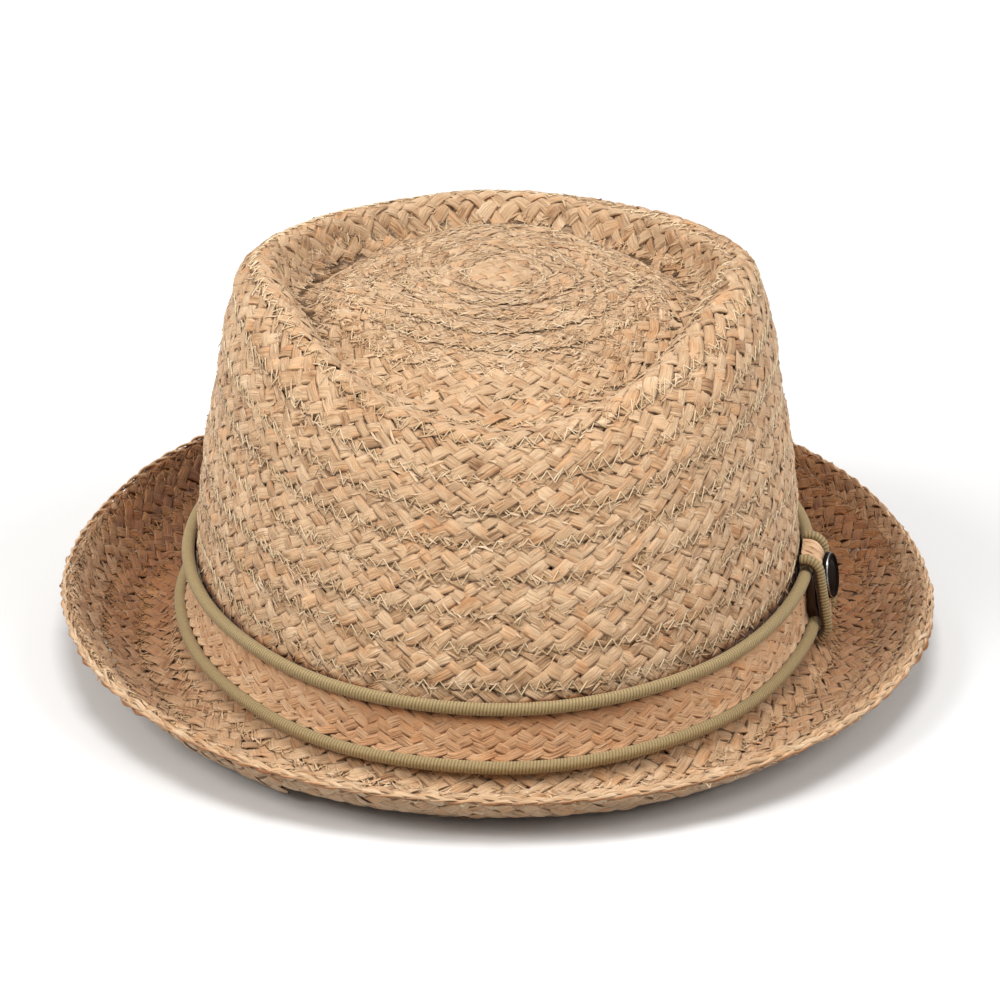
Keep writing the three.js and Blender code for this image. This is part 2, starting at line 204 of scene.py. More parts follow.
LAND_ROWS = (18.4, 18.8, 19.2, 19.7, 20.2, 20.8, 21.5, 22.0, 22.5)
LAND_ANGLES = 60
SETTLE_PASSES = 12


def settle():
    """Tilt about X, shift along Y and lift that settle the block on its brim."""
    angles = np.arange(LAND_ANGLES) / LAND_ANGLES * 2 * math.pi
    angle, row = (a.ravel() for a in np.meshgrid(angles, LAND_ROWS))
    low = inner_skin(angle, row)
    front = low[low[:, 1] < 0]
    back = low[low[:, 1] > 0]
    tilt = 0.0

    def turned(points):
        y = points[:, 1] * math.cos(tilt) - points[:, 2] * math.sin(tilt)
        z = points[:, 1] * math.sin(tilt) + points[:, 2] * math.cos(tilt)
        return y, z

    for _ in range(SETTLE_PASSES):
        front_y, front_z = turned(front)
        back_y, back_z = turned(back)
        f = front_z.argmin()
        b = back_z.argmin()
        tilt -= math.atan2(back_z[b] - front_z[f], back_y[b] - front_y[f])
    y = turned(low)[0]
    shift = -(y.min() + y.max()) / 2
    lift = -turned(front)[1].min() - LAND_DEPTH
    return Matrix.Translation((0, shift, lift)) @ Matrix.Rotation(tilt, 4, "X")


SETTLED = settle()
SETTLED_TURN = np.array(SETTLED.to_3x3())
SETTLED_SHIFT = np.array(SETTLED.translation)


def settled(points):
    """Points of the block in metres, in the frame of the part."""
    return (points @ SETTLED_TURN.T + SETTLED_SHIFT) * MM


# Camera, light and floor.
VIEW_DISTANCE = 1250.0
VIEW_ELEVATION = math.radians(20)
VIEW_TARGET = (0.0, 0.0, 41.3)
VIEW_LENS = 166.2
VIEW_SHIFT = 0.0015


def settled_place(point):
    return Vector(settled(np.array([point], float))[0])


def make_camera():
    eye = (
        VIEW_TARGET[0],
        VIEW_TARGET[1] - VIEW_DISTANCE * math.cos(VIEW_ELEVATION),
        VIEW_TARGET[2] + VIEW_DISTANCE * math.sin(VIEW_ELEVATION),
    )
    camera = bpy.data.objects.new("camera", bpy.data.cameras.new("camera"))
    camera.data.lens = VIEW_LENS
    camera.data.sensor_width = 36.0
    camera.data.shift_x = VIEW_SHIFT
    camera.data.clip_end = 50.0
    camera.location = settled_place(eye)
    look = settled_place(VIEW_TARGET) - camera.location
    camera.rotation_euler = look.to_track_quat("-Z", "Y").to_euler()
    bpy.context.scene.collection.objects.link(camera)
    bpy.context.scene.camera = camera


LIGHT_AIM = (0.0, 0.0, 0.05)
WORLD_STRENGTH = 0.42
FLOOR_REACH = 12.0
FLOOR_DROP = 0.0004


def make_light(name, place, size, power, colour):
    light = bpy.data.lights.new(name, "AREA")
    light.shape = "SQUARE"
    light.size = size
    light.energy = power
    light.color = colour
    lamp = bpy.data.objects.new(name, light)
    lamp.location = place
    look = Vector(LIGHT_AIM) - Vector(place)
    lamp.rotation_euler = look.to_track_quat("-Z", "Y").to_euler()
    bpy.context.scene.collection.objects.link(lamp)


def make_studio():
    world = bpy.data.worlds.new("studio")
    world.use_nodes = True
    background = world.node_tree.nodes["Background"]
    background.inputs["Color"].default_value = (1.0, 0.99, 0.975, 1.0)
    background.inputs["Strength"].default_value = WORLD_STRENGTH
    bpy.context.scene.world = world
    bpy.context.scene.view_settings.view_transform = "Standard"
    make_light("top", (0.0, -0.2, 5.0), 2.2, 170.0, (1.0, 0.99, 0.97))
    make_light("left", (-3.3, -1.3, 3.15), 2.0, 150.0, (1.0, 0.985, 0.96))
    make_light("right", (3.3, -1.2, 2.85), 2.2, 98.0, (1.0, 0.99, 0.98))
    mesh = bpy.data.meshes.new("floor")
    corners = [(-1, -1), (1, -1), (1, 1), (-1, 1)]
    points = [(x * FLOOR_REACH, y * FLOOR_REACH, 0) for x, y in corners]
    mesh.from_pydata(points, [], [(0, 1, 2, 3)])
    floor = bpy.data.objects.new("floor", mesh)
    floor.location.z = -FLOOR_DROP
    bpy.context.scene.collection.objects.link(floor)
    material = bpy.data.materials.new("pale_floor")
    material.use_nodes = True
    shader = material.node_tree.nodes["Principled BSDF"]
    shader.inputs["Base Color"].default_value = (0.66, 0.66, 0.665, 1.0)
    shader.inputs["Roughness"].default_value = 0.9
    mesh.materials.append(material)


make_camera()
make_studio()


# Materials.
class Nodes:
    """Short way to build a node tree."""

    def __init__(self, name):
        self.material = bpy.data.materials.new(name)
        self.material.use_nodes = True
        self.tree = self.material.node_tree
        self.shader = self.tree.nodes["Principled BSDF"]

    def add(self, kind, inputs=(), **settings):
        node = self.tree.nodes.new(kind)
        for key, value in settings.items():
            setattr(node, key, value)
        for key, value in dict(inputs).items():
            if isinstance(value, bpy.types.NodeSocket):
                self.tree.links.new(value, node.inputs[key])
            else:
                node.inputs[key].default_value = value
        return node

    def attribute(self, name, output):
        return self.add("ShaderNodeAttribute", attribute_name=name).outputs[output]

    def scaled(self, vector, scale):
        return self.add(
            "ShaderNodeVectorMath", {0: vector, 1: scale}, operation="MULTIPLY"
        ).outputs[0]

    def noise(self, vector, scale, detail=2.0, rough=0.5):
        return self.add(
            "ShaderNodeTexNoise",
            {"Vector": vector, "Scale": scale, "Detail": detail, "Roughness": rough},
        ).outputs["Fac"]

    def ramp(self, value, stops):
        node = self.add("ShaderNodeValToRGB", {"Fac": value})
        ramp = node.color_ramp
        while len(ramp.elements) < len(stops):
            ramp.elements.new(0.5)
        for element, (place, colour) in zip(ramp.elements, stops):
            element.position = place
            element.color = (*colour, 1.0)
        return node.outputs["Color"]

    def math(self, operation, a, b, clamp=False):
        return self.add(
            "ShaderNodeMath", {0: a, 1: b}, operation=operation, use_clamp=clamp
        ).outputs[0]

    def mix(self, share, a, b, blend="MIX"):
        return self.add(
            "ShaderNodeMix",
            {"Factor": share, 6: a, 7: b},
            data_type="RGBA",
            blend_type=blend,
        ).outputs[2]

    def varied(self, value, noise, amount, clamp=False):
        """A value made higher and lower by a noise round 0.5."""
        change = self.math("MULTIPLY", self.math("SUBTRACT", noise, 0.5), amount)
        return self.math("ADD", value, change, clamp)

    def bump(self, height, strength, distance):
        inputs = {"Height": height, "Strength": strength, "Distance": distance}
        return self.add("ShaderNodeBump", inputs).outputs["Normal"]

    def shaded(self, colour):
        """Multiplies a colour by the painted shade kept on the mesh: 0 black, 1 none, 2 grey."""
        stops = (
            (0.00, (0.04, 0.025, 0.015)),
            (0.25, (0.50, 0.30, 0.14)),
            (0.50, (1.0, 1.0, 1.0)),
            (1.00, (0.50, 0.54, 0.58)),
        )
        shadow = self.ramp(self.math("MULTIPLY", self.attribute("shade", "Fac"), 0.5), stops)
        return self.mix(1.0, colour, shadow, "MULTIPLY")

    def link(self, output, socket):
        self.tree.links.new(output, self.shader.inputs[socket])

    def set(self, values):
        for socket, value in values.items():
            self.shader.inputs[socket].default_value = value


def raffia(name, stops, streak_depth, roughness, sheen):
    """Dry palm fibre: its colour follows each strand, with fine splits along it."""
    n = Nodes(name)
    fibre = n.attribute("fibre", "Vector")
    tint = n.attribute("tint", "Fac")
    streaks = n.noise(n.scaled(fibre, (0.07, 1.9, 1.0)), 1.0, 3.0, 0.62)
    fine = n.noise(n.scaled(fibre, (0.14, 5.2, 1.0)), 1.0, 2.0, 0.6)
    blotch = n.noise(n.scaled(fibre, (0.20, 0.35, 1.0)), 1.0, 2.0, 0.5)
    warm = n.noise(n.scaled(fibre, (0.09, 0.22, 2.3)), 1.0, 1.0, 0.5)
    value = n.varied(tint, streaks, streak_depth)
    value = n.varied(value, blotch, 0.5)
    value = n.varied(value, fine, 0.5, clamp=True)
    colour = n.ramp(value, stops)
    redder = n.mix(1.0, colour, (1.04, 0.86, 0.70, 1.0), "MULTIPLY")
    share = n.ramp(warm, ((0.50, (0.0, 0.0, 0.0)), (0.72, (0.85, 0.85, 0.85))))
    colour = n.mix(share, colour, redder)
    n.link(n.shaded(colour), "Base Color")
    split = n.math("ADD", n.math("MULTIPLY", streaks, 0.72), n.math("MULTIPLY", fine, 0.28))
    n.link(n.bump(split, 1.0, 0.0011), "Normal")
    n.set({"Roughness": roughness, "Specular IOR Level": 0.35})
    n.set({"Sheen Weight": sheen, "Sheen Roughness": 0.5})
    return n.material


STRAW_STOPS = (
    (0.00, (0.185, 0.086, 0.034)),
    (0.22, (0.380, 0.213, 0.100)),
    (0.45, (0.536, 0.340, 0.188)),
    (0.70, (0.628, 0.428, 0.256)),
    (1.00, (0.735, 0.552, 0.370)),
)
STRAP_STOPS = (
    (0.00, (0.390, 0.190, 0.083)),
    (0.30, (0.615, 0.356, 0.186)),
    (0.60, (0.756, 0.482, 0.273)),
    (1.00, (0.860, 0.638, 0.423)),
)


def thread_material():
    n = Nodes("sewing_thread")
    tint = n.attribute("tint", "Fac")
    colour = n.ramp(tint, ((0.0, (0.52, 0.37, 0.19)), (1.0, (0.80, 0.66, 0.45))))
    n.link(n.shaded(colour), "Base Color")
    n.set({"Roughness": 0.5, "Specular IOR Level": 0.5})
    return n.material


def cord_material():
    """Olive ribbed cord with a woven grain, and painted shade between its ribs."""
    n = Nodes("ribbed_cord")
    fibre = n.attribute("fibre", "Vector")
    tint = n.attribute("tint", "Fac")
    grain = n.noise(n.scaled(fibre, (3.0, 1.2, 1.0)), 1.0, 2.0, 0.6)
    value = n.varied(tint, grain, 0.5, clamp=True)
    stops = (
        (0.00, (0.066, 0.039, 0.013)),
        (0.35, (0.190, 0.128, 0.045)),
        (0.70, (0.335, 0.238, 0.098)),
        (1.00, (0.440, 0.330, 0.152)),
    )
    n.link(n.shaded(n.ramp(value, stops)), "Base Color")
    n.link(n.bump(grain, 0.6, 0.0002), "Normal")
    n.set({"Roughness": 0.62, "Sheen Weight": 0.25})
    return n.material


def metal_material():
    """Dark plated metal, scuffed bright along its rim."""
    n = Nodes("gunmetal")
    place = n.add("ShaderNodeTexCoord").outputs["Object"]
    tint = n.attribute("tint", "Fac")
    scuff = n.noise(place, 900.0, 4.0, 0.6)
    value = n.varied(tint, scuff, 0.5, clamp=True)
    stops = (
        (0.00, (0.005, 0.003, 0.002)),
        (0.45, (0.018, 0.013, 0.010)),
        (0.75, (0.250, 0.240, 0.240)),
        (1.00, (0.620, 0.610, 0.600)),
    )
    n.link(n.ramp(value, stops), "Base Color")
    n.link(n.ramp(value, ((0.0, (0.50,) * 3), (1.0, (0.26,) * 3))), "Roughness")
    n.link(n.bump(scuff, 0.25, 0.0001), "Normal")
    n.link(n.ramp(value, ((0.32, (0.0,) * 3), (0.7, (0.95,) * 3))), "Metallic")
    n.set({"Specular IOR Level": 0.02})
    return n.material


STRAW = raffia("raffia", STRAW_STOPS, 0.9, 0.55, 0.12)
STRAP = raffia("strap_raffia", STRAP_STOPS, 0.7, 0.5, 0.12)
THREAD = thread_material()
CORD = cord_material()
GUNMETAL = metal_material()


# Meshes of many tubes.
def add_piece(name, points, faces, material, slot, tint, shade, fibre, bake):
    """Makes a smooth mesh piece that rides on the hat, from points in metres."""
    mesh = bpy.data.meshes.new(name)
    mesh.from_pydata(points, [], faces)
    mesh.polygons.foreach_set("use_smooth", np.ones(len(mesh.polygons), bool))
    for key, values in (("tint", tint), ("shade", shade)):
        layer = mesh.attributes.new(key, "FLOAT", "POINT")
        layer.data.foreach_set("value", np.asarray(values, np.float32).ravel())
    layer = mesh.attributes.new("fibre", "FLOAT_VECTOR", "POINT")
    layer.data.foreach_set("vector", np.asarray(fibre, np.float32).ravel())
    layer = mesh.uv_layers.new(name="OFBake")
    layer.uv.foreach_set("vector", np.asarray(bake, np.float32).ravel())
    mesh.materials.append(material)
    mesh.update()
    piece = bpy.data.objects.new(name, mesh)
    bpy.context.scene.collection.objects.link(piece)
    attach(piece, "root")
    return piece


STRIP_FILL = 0.9


def fibre_map(along, across, number):
    """Where points lie on their strand, for the streaks of its material."""
    return np.stack(np.broadcast_arrays(along, across, number), axis=-1)


class Tubes:
    """Collects tubes of rings with the same number of points, for one mesh."""

    def __init__(self, ring_points, closed=True):
        self.ring_points = ring_points
        self.closed = closed
        self.tubes = []

    def add(self, rings, tints, fibres=0.0, shades=1.0):
        """rings has shape (m, n, 3), and the others are spread to fit it."""
        shape = rings.shape
        spread = [np.broadcast_to(values, shape[:2]) for values in (tints, shades)]
        self.tubes.append((rings, *spread, np.broadcast_to(fibres, shape)))

    def piece(self, name, material, slot, cell=(1.3, 8.0)):
        n = self.ring_points
        counts = [len(tube[0]) for tube in self.tubes]
        starts = np.cumsum([0, *counts])
        first = np.concatenate([a + np.arange(m - 1) for a, m in zip(starts, counts)])
        j = np.arange(n if self.closed else n - 1)
        k = (j + 1) % n
        here = first[:, None] * n
        there = here + n
        faces = np.stack([here + j, here + k, there + k, there + j], axis=-1).reshape(-1, 4)
        cells = len(first)
        around = len(j)
        strips = max(1, round(math.sqrt(cells * cell[0] / cell[1])))
        in_strip = math.ceil(cells / strips)
        order = np.arange(cells)
        x0 = ((order % in_strip) / in_strip)[:, None]
        x1 = x0 + 1 / in_strip
        strip = (order // in_strip)[:, None]
        y0 = (strip + (j / around) * STRIP_FILL) / strips
        y1 = (strip + ((j + 1) / around) * STRIP_FILL) / strips
        corners = ((x0, y0), (x0, y1), (x1, y1), (x1, y0))
        bake = np.stack([np.stack(np.broadcast_arrays(*c), -1) for c in corners], axis=2)
        rings, *values = (np.concatenate(group) for group in zip(*self.tubes))
        return add_piece(name, rings.reshape(-1, 3), faces, material, slot, *values, bake)


def wander(rng, length, step, spread=1.0):
    """A smooth random curve over a length, with a new value at every step."""
    knots = rng.normal(0, spread, int(length / step) + 4)

    def at(s):
        x = np.clip(s / step + 1, 0, len(knots) - 1.001)
        i = x.astype(int)
        t = x - i
        t = t * t * (3 - 2 * t)
        return knots[i] * (1 - t) + knots[i + 1] * t

    return at


# The braid.
# Cross-sections of a strand: place across as a share of half its width, and height as
# a share of its thickness.
RING_TOP = np.array([(-1.0, -0.30), (-0.62, 0.42), (0.0, 0.50), (0.62, 0.42), (1.0, -0.30)])
RING_BOTH = np.array(
    [(-1.0, 0.0), (-0.62, 0.44), (0.0, 0.50), (0.62, 0.44), (1.0, 0.0),
     (0.6, -0.46), (-0.6, -0.46)]
)
RING_CREST = 2
RING_UNDERSIDE = -0.4
STRAND_TINT = 0.52
# Painted shade: a strand's tint is lowered along its edges, where it meets its neighbours.
FLANK_PAINTED_SHADE = 0.24
FLANK_FROM = 0.9
# Painted shade: a strand's tint is lowered in the crease along its crest.
CREASE_PAINTED_SHADE = 0.26
CREASE_DEPTH = 0.55
CORNER_SHARPNESS = 0.985
WEAVE_FLATNESS = 0.65
FIBRE_STRETCH = 1.2


class Braid:
    """A flat braid in its own plane: s along it, v across it and h out of it."""

    def __init__(self, length, strands, unit_length, reach, width, rise, thickness, rng, rough=1.0):
        self.strands = strands
        self.period = 2 * strands * unit_length
        self.reach = reach
        self.width = width
        self.rise = rise
        self.thickness = thickness

        def vary(step, spread):
            return [wander(rng, length, step, spread) for _ in range(strands)]

        self.wide = vary(5.0, 0.11 * rough)
        self.aside = vary(5.0, 0.26 * rough)
        self.lifted = vary(3.4, 0.12 * rough)
        self.rolled = vary(4.5, 0.18 * rough)
        self.tinted = vary(60.0, 0.07)
        self.spotted = vary(5.5, 0.09)
        self.split = vary(2.6, 0.75)
        self.split_at = vary(4.0, 0.22)

    def middle(self, strand, s):
        """Place across and height of a strand's middle line."""
        turn = s / self.period + strand / self.strands
        wave = np.arcsin(CORNER_SHARPNESS * np.sin(2 * math.pi * turn - math.pi / 2))
        across = self.reach * wave / math.asin(CORNER_SHARPNESS)
        x = (2 * self.strands * turn) % self.strands
        last = self.strands - 1
        height = np.where(
            x < 1,
            np.sin(np.minimum(x, 1) * math.pi / 2),
            np.where(
                x < last,
                np.cos(math.pi * (x - 1)),
                -np.cos(math.pi * (np.maximum(x, last) - last) / 2),
            ),
        )
        if self.strands % 2 == 0:
            height = np.where(x >= last, -height, height)
        height = np.sign(height) * np.abs(height) ** WEAVE_FLATNESS
        return across, height * self.rise

    def strand(self, k, start, end, step, ring):
        """Arrays of s, v and h for each point of each ring, with its tint and fibre."""
        count = max(2, int(round((end - start) / step)) + 1)
        s = np.linspace(start, end, count)
        v, h = self.middle(k, s)
        v = v + self.aside[k](s)
        ahead = 0.4
        v_after = self.middle(k, s + ahead)[0] + self.aside[k](s + ahead)
        v_before = self.middle(k, s - ahead)[0] + self.aside[k](s - ahead)
        slope = (v_after - v_before) / (2 * ahead)
        size = np.hypot(1, slope)
        half = self.width / 2 * (1 + self.wide[k](s))
        roll = self.rolled[k](s)
        share = np.broadcast_to(ring[:, 0], (count, len(ring))).copy()
        share[:, RING_CREST] = self.split_at[k](s)
        across = share * half[:, None]
        crease = np.clip(self.split[k](s), 0, 1.2)
        ring_s = s[:, None] - across * (slope / size)[:, None]
        ring_v = v[:, None] + across / size[:, None]
        ring_h = (h + self.lifted[k](s))[:, None] + ring[:, 1][None, :] * self.thickness
        ring_h = ring_h + across / half[:, None] * roll[:, None]
        ring_h[:, RING_CREST] -= crease * self.thickness * CREASE_DEPTH
        tint = STRAND_TINT + self.tinted[k](s) + self.spotted[k](s)
        # painted shade along the strand's edges
        tint = tint[:, None] - FLANK_PAINTED_SHADE * (np.abs(ring[:, 0]) > FLANK_FROM)
        # painted shade in the crease
        tint[:, RING_CREST] -= CREASE_PAINTED_SHADE * crease
        fibre = fibre_map(s[:, None] * FIBRE_STRETCH, share * self.width / 2, 17.3 * k)
        return ring_s, ring_v, ring_h, tint, fibre


# The spiral: turns are counted from the tip, whole numbers at the front. The lower
# edge of a turn lies half a row below its number, and the last one follows the brim.
UNIT_LENGTH = 3.2
STRANDS = 5
BRAID_REACH = 4.75
STRAND_WIDTH = 3.62
STRAND_THICKNESS = 0.52
STRAND_RISE = 0.30
BRAID_HALF = 6.35
EXPOSED_SHARE = 0.80
LAYER = 0.95
EDGE_SINK = 0.45
EDGE_PRESS = 0.38
FIRST_TURN = 0.32
LAST_TURN = 22.93
TURN_STEP = 1 / 180
BRAID_STEP = UNIT_LENGTH / 3


def lower_edge(turn):
    return np.minimum(turn + 0.5, EDGE_ROW)


def turn_angle(turn):
    return -math.pi / 2 + 2 * math.pi * turn


def row_height(turn):
    """Width of the row above the lower edge, measured on the skin."""
    low = np.maximum(lower_edge(turn), 1.0)
    angle = turn_angle(turn)
    return np.linalg.norm(skin(angle, low) - skin(angle, low - 1), axis=1)


TURNS = np.arange(FIRST_TURN, LAST_TURN + TURN_STEP, TURN_STEP)
TURN_PITCH = np.maximum(row_height(TURNS), 4.0)


def spiral_lengths():
    middle = np.maximum(lower_edge(TURNS) - BRAID_HALF / TURN_PITCH, 0.15)
    return run_along(skin(turn_angle(TURNS), middle))


TURN_AT = spiral_lengths()
SPIRAL_LENGTH = TURN_AT[-1]
rng = np.random.default_rng(7)
SEAM_WANDER = wander(rng, SPIRAL_LENGTH + 40, 22.0, 0.03)
SURFACE_WANDER = wander(rng, SPIRAL_LENGTH + 40, 17.0, 0.12)


FLOOR_TOUCH = 0.00006
UNDER_OFF = -1.75
UNDER_LEAN = 0.45
SEAMS_STEADY_FROM = 21.4
EDGE_WRAP = 3.0
EDGE_ROUND = 1.6
WRAP_TURNS = (21.7, 21.9)
END_TURNS = (22.84, 22.90)
END_DRAWN_IN = 1.8
DENT_TURN = 7.9
DENT_SPAN = 1.6
DENT_UNDERLAP = 2.8
DENT_LIFT = 0.4
NEAREST_ROW = 0.35
TIP_FLATNESS = 0.35
TIP_FLAT_TURNS = (7.4, 6.6)
PRESSED_ACROSS = (-3.2, -0.8)
PRESSED_FLATNESS = 0.4


def on_spiral(s, v, h, at_edge=False, under=False):
    """Points in metres for arrays of braid coordinates: the last turn rolls over the edge."""
    shape, (s, v, h) = flattened(s, v, h)
    inside = np.clip(s, 0, SPIRAL_LENGTH)
    turn = np.interp(inside, TURN_AT, TURNS)
    pitch = np.interp(inside, TURN_AT, TURN_PITCH)
    edge = lower_edge(turn) + SEAM_WANDER(inside) * (turn < SEAMS_STEADY_FROM)
    wrap = EDGE_WRAP * fade(turn, *WRAP_TURNS)
    wrap = wrap - (wrap + END_DRAWN_IN) * fade(turn, *END_TURNS)
    h = h * (1 - TIP_FLATNESS * fade(turn, *TIP_FLAT_TURNS))
    if at_edge:
        edge = np.full(len(turn), EDGE_ROW)
        wrap = np.full(len(turn), 0.0 if under else EDGE_WRAP)
    widened = np.maximum(pitch / (2 * BRAID_HALF * EXPOSED_SHARE), 1)
    v = BRAID_HALF + (v - BRAID_HALF) * np.where(v < BRAID_HALF, widened, 1)
    out_of_dent = np.clip(DENT_SPAN - np.abs(turn - DENT_TURN), 0, 1)
    v = v - DENT_UNDERLAP * out_of_dent * np.clip((-v - 1.0) / 4.0, 0, 1.3)
    row = np.maximum(edge + (v - BRAID_HALF + wrap) / pitch, NEAREST_ROW)
    covered = np.clip(edge - (turn - 0.5), 0, 1)
    layer = LAYER * (1 - DENT_LIFT * out_of_dent)
    off = -EDGE_SINK + layer * (v - BRAID_HALF) / pitch - LAYER * (1 - covered)
    pressed = fade(v - BRAID_HALF, *PRESSED_ACROSS)
    off = off + SURFACE_WANDER(inside) + h * (1 - PRESSED_FLATNESS * pressed) - EDGE_PRESS * pressed
    if under:
        off = UNDER_OFF - UNDER_LEAN * v / BRAID_HALF - h
    angle = turn_angle(turn)
    level = np.minimum(row, EDGE_ROW)
    up, around, out = skin_frame(angle, level)
    past = (row - EDGE_ROW) * pitch
    places = skin(angle, level)
    if under:
        places = places + off[:, None] * out - np.maximum(past, 0)[:, None] * up
    else:
        bend = np.clip(past / EDGE_ROUND + 1, 0, math.pi / 2)
        ahead = EDGE_ROUND * (np.sin(bend) - 1)
        drop = EDGE_ROUND * (1 - np.cos(bend))
        drop = drop + np.maximum(past - EDGE_ROUND * (math.pi / 2 - 1), 0)
        rolled = skin(angle, np.full(len(angle), EDGE_ROW))
        rolled = rolled - ahead[:, None] * up - drop[:, None] * out
        places = np.where((bend > 0)[:, None], rolled, places)
        normal = np.cos(bend)[:, None] * out - np.sin(bend)[:, None] * up
        places = places + off[:, None] * normal
    past_end = (s - inside)[:, None]
    points = settled(places + past_end * around)
    points[:, 2] = np.maximum(points[:, 2], FLOOR_TOUCH * (1 + np.sin(s * 3.1) / 2))
    return points.reshape(*shape, 3)


GUTTER_SHADE = 0.47
GUTTER_TURNS = (17.9, 19.1)
BACK_SHADE = 0.16
BACK_SHADE_LEAN = 0.06
# Painted shade, greyer, on the undersides of the brim's strands.
UNDERSIDE_PAINTED_SHADE = 0.26
FOOT_SHADOW = 0.85
FOOT_SHADOW_ABOVE = (1.9, 0.8)
FOOT_SHADOW_BELOW = (-6.0, -4.0)


def foot_shade(s, v):
    """Painted shadow: a dark line on the straw right above the band's upper cord."""
    turn = np.interp(s, TURN_AT, TURNS)
    pitch = np.interp(s, TURN_AT, TURN_PITCH)
    row = lower_edge(turn) + (v - BRAID_HALF) / pitch
    above = wall_distance(turn_angle(turn), row) - UPPER_CORD_AT
    return 1 - FOOT_SHADOW * fade(above, *FOOT_SHADOW_ABOVE) * fade(above, *FOOT_SHADOW_BELOW)


def spiral_shade(s):
    """Painted shade on the straw: darker and browner in the gutter of the brim, most at its back.
    """
    turn = np.interp(s, TURN_AT, TURNS)
    from_front = (1 - np.cos(2 * math.pi * turn)) / 2
    behind = fade(from_front, 0.575, 0.825)
    outwards = np.clip((22.4 + behind - turn) / 1.4, 0.3 + 0.5 * behind, 1)
    in_gutter = fade(turn, *GUTTER_TURNS) * outwards
    lean = BACK_SHADE_LEAN * np.sin(2 * math.pi * turn)
    depth = GUTTER_SHADE + behind * (BACK_SHADE - lean)
    return 1 - depth * in_gutter * np.clip(from_front * 2.2, 0, 1)


EDGE_FIRST = 21.5
EDGE_LAST = 22.52


def straw_piece(name, plait, first, last, ring, under_layer=False):
    """One length of the spiral, or of the brim's doubled edge underneath."""
    start = np.interp(first, TURNS, TURN_AT)
    end = np.interp(last, TURNS, TURN_AT)
    tubes = Tubes(len(ring))
    # Painted shade: the strands' undersides, and partly their flanks, take the greyer underside
    # shade (the other side on the under layer, which faces down).
    flank = np.where(np.abs(ring[:, 0]) > FLANK_FROM, 0.3, 0.0)
    below = np.where(ring[:, 1] < RING_UNDERSIDE, 1.0, flank)
    below = 1 - below if under_layer else below * (len(ring) == len(RING_BOTH))
    order = slice(None, None, -1) if under_layer else slice(None)
    step = BRAID_STEP * (1.5 if under_layer else 1.0)
    for k in range(STRANDS):
        s, v, h, tint, fibre = plait.strand(k, start, end, step, ring)
        places = on_spiral(s, v, h, under_layer, under_layer)
        shade = spiral_shade(s) * foot_shade(s, v) * (1 - below) + (1 + UNDERSIDE_PAINTED_SHADE) * below
        tubes.add(places[:, order], tint[:, order], fibre[:, order], shade[:, order])
    return tubes.piece(name, STRAW, "straw")


def straw_braid():
    plait = Braid(
        SPIRAL_LENGTH, STRANDS, UNIT_LENGTH, BRAID_REACH, STRAND_WIDTH, STRAND_RISE,
        STRAND_THICKNESS, rng,
    )
    parts = (
        ("braid_tip", FIRST_TURN, 8.0, RING_TOP),
        ("braid_crown_upper", 8.0, 13.0, RING_TOP),
        ("braid_crown_lower", 13.0, 17.6, RING_TOP),
        ("braid_brim_inner", 17.6, 20.4, RING_BOTH),
        ("braid_brim_outer", 20.4, LAST_TURN, RING_BOTH),
    )
    pieces = [straw_piece(name, plait, first, last, ring) for name, first, last, ring in parts]
    straw_piece("braid_brim_under", plait, EDGE_FIRST, EDGE_LAST, RING_BOTH, under_layer=True)
    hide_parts("hat_body")


ROPE_AT = -0.6
ROPE_LIFT = 1.2
ROPE_TINT = 0.12
ROPE_FOOT_SHADE = 0.6


def edge_rope():
    """The long shallow strands that wrap the very edge of the brim."""
    start = np.interp(EDGE_FIRST, TURNS, TURN_AT)
    end = np.interp(EDGE_LAST, TURNS, TURN_AT)
    plait = Braid(SPIRAL_LENGTH, 3, 3.1, 0.75, 1.15, 0.6, 0.95, np.random.default_rng(11))
    tubes = Tubes(len(RING_BOTH))
    for k in range(3):
        s, v, h, tint, fibre = plait.strand(k, start, end, 1.1, RING_BOTH)
        places = on_spiral(s, BRAID_HALF + ROPE_AT + v, ROPE_LIFT + h, at_edge=True)
        # Painted shade: the rope's strands are darker along their lower side.
        shade = 1 - ROPE_FOOT_SHADE * fade(v, 0.5, 1.1)
        tubes.add(places, tint + ROPE_TINT, fibre, shade)
    tubes.piece("edge_rope", STRAW, "straw")


CENTRE_STRANDS = 5
CENTRE_PITCH = 3.3
CENTRE_HEADING = 0.6
CENTRE_LEVEL = -0.65
CENTRE_RISE = 0.24
CENTRE_DOME = 0.35
TIP_ROW_WIDTH = 8.4
DENT_ROWS = (6.3, 8.5)
DENT_BACKING_OFF = -1.1


